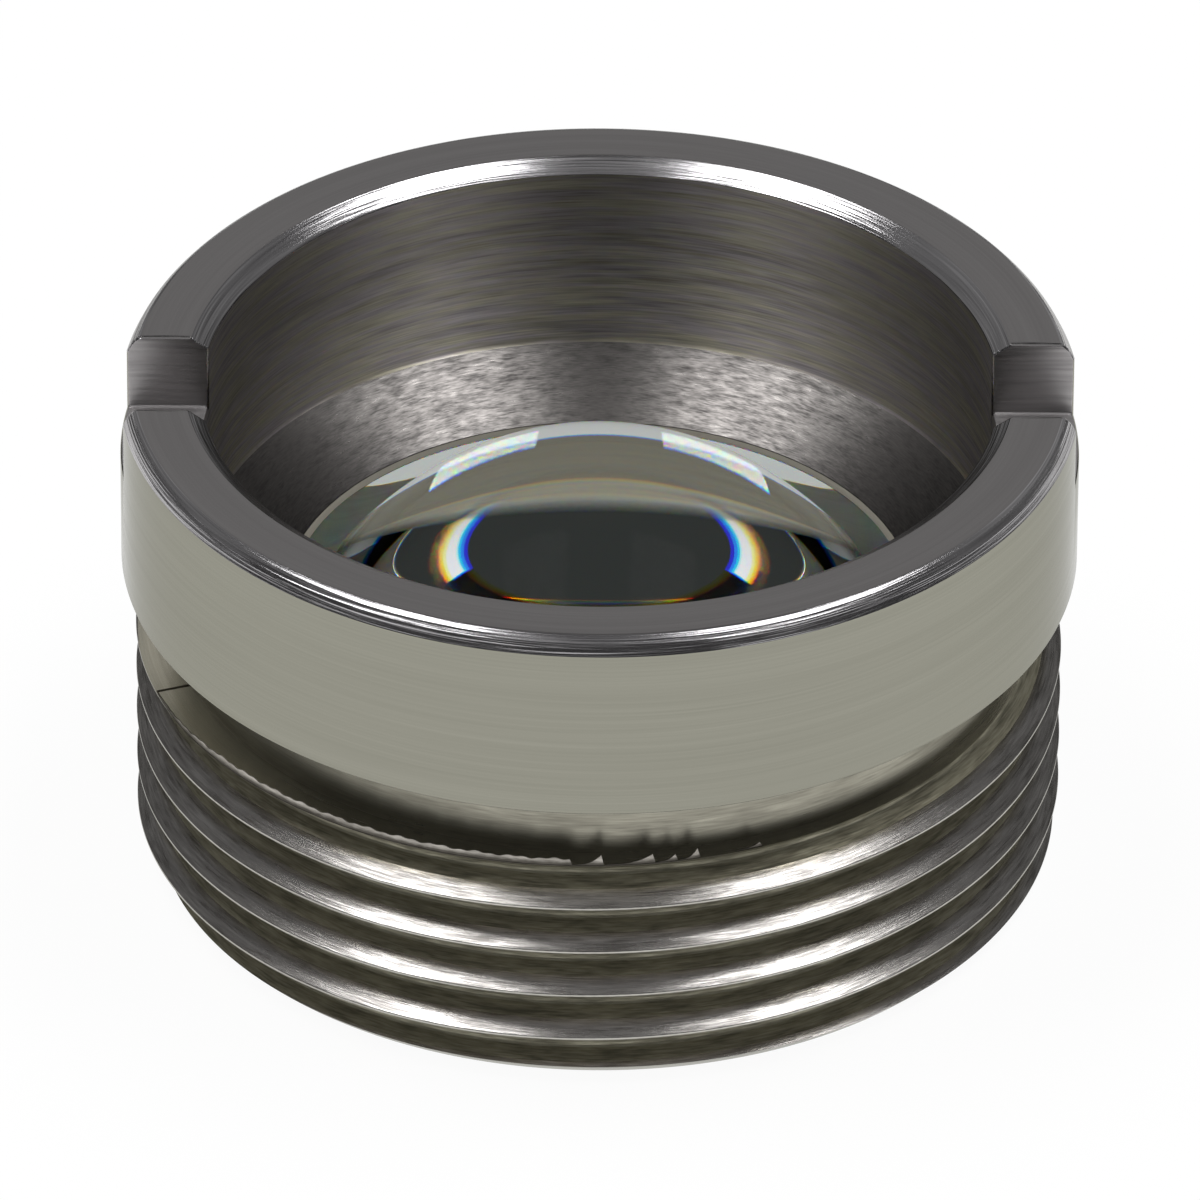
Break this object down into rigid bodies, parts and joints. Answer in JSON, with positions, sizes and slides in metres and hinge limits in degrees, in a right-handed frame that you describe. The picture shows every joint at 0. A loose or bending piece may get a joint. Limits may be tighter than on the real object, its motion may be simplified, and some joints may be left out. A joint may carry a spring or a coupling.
{
  "type": "mounted aspheric lens",
  "caption": "Small moulded aspheric lens bonded into a threaded steel cell with a slotted round head, for collimating or focusing light.",
  "frame": {"origin": "centre of the rear face of the threaded end, on the optical axis", "axes": "+Z along the optical axis, from the rear face towards the slotted head and the curved side of the lens; the two spanner slots lie along X"},
  "size_m": [0.0092, 0.0092, 0.0052],
  "materials": {
    "cell_steel": "turned stainless steel, satin, with fine circular tool marks",
    "optical_glass": "clear moulded optical glass, polished",
    "cured_adhesive": "cured clear to amber optical adhesive, smooth"
  },
  "bodies": {
    "root": {"lens_cell": "cell_steel", "aspheric_lens": "optical_glass", "adhesive_ring": "cured_adhesive"}
  },
  "joints": []
}
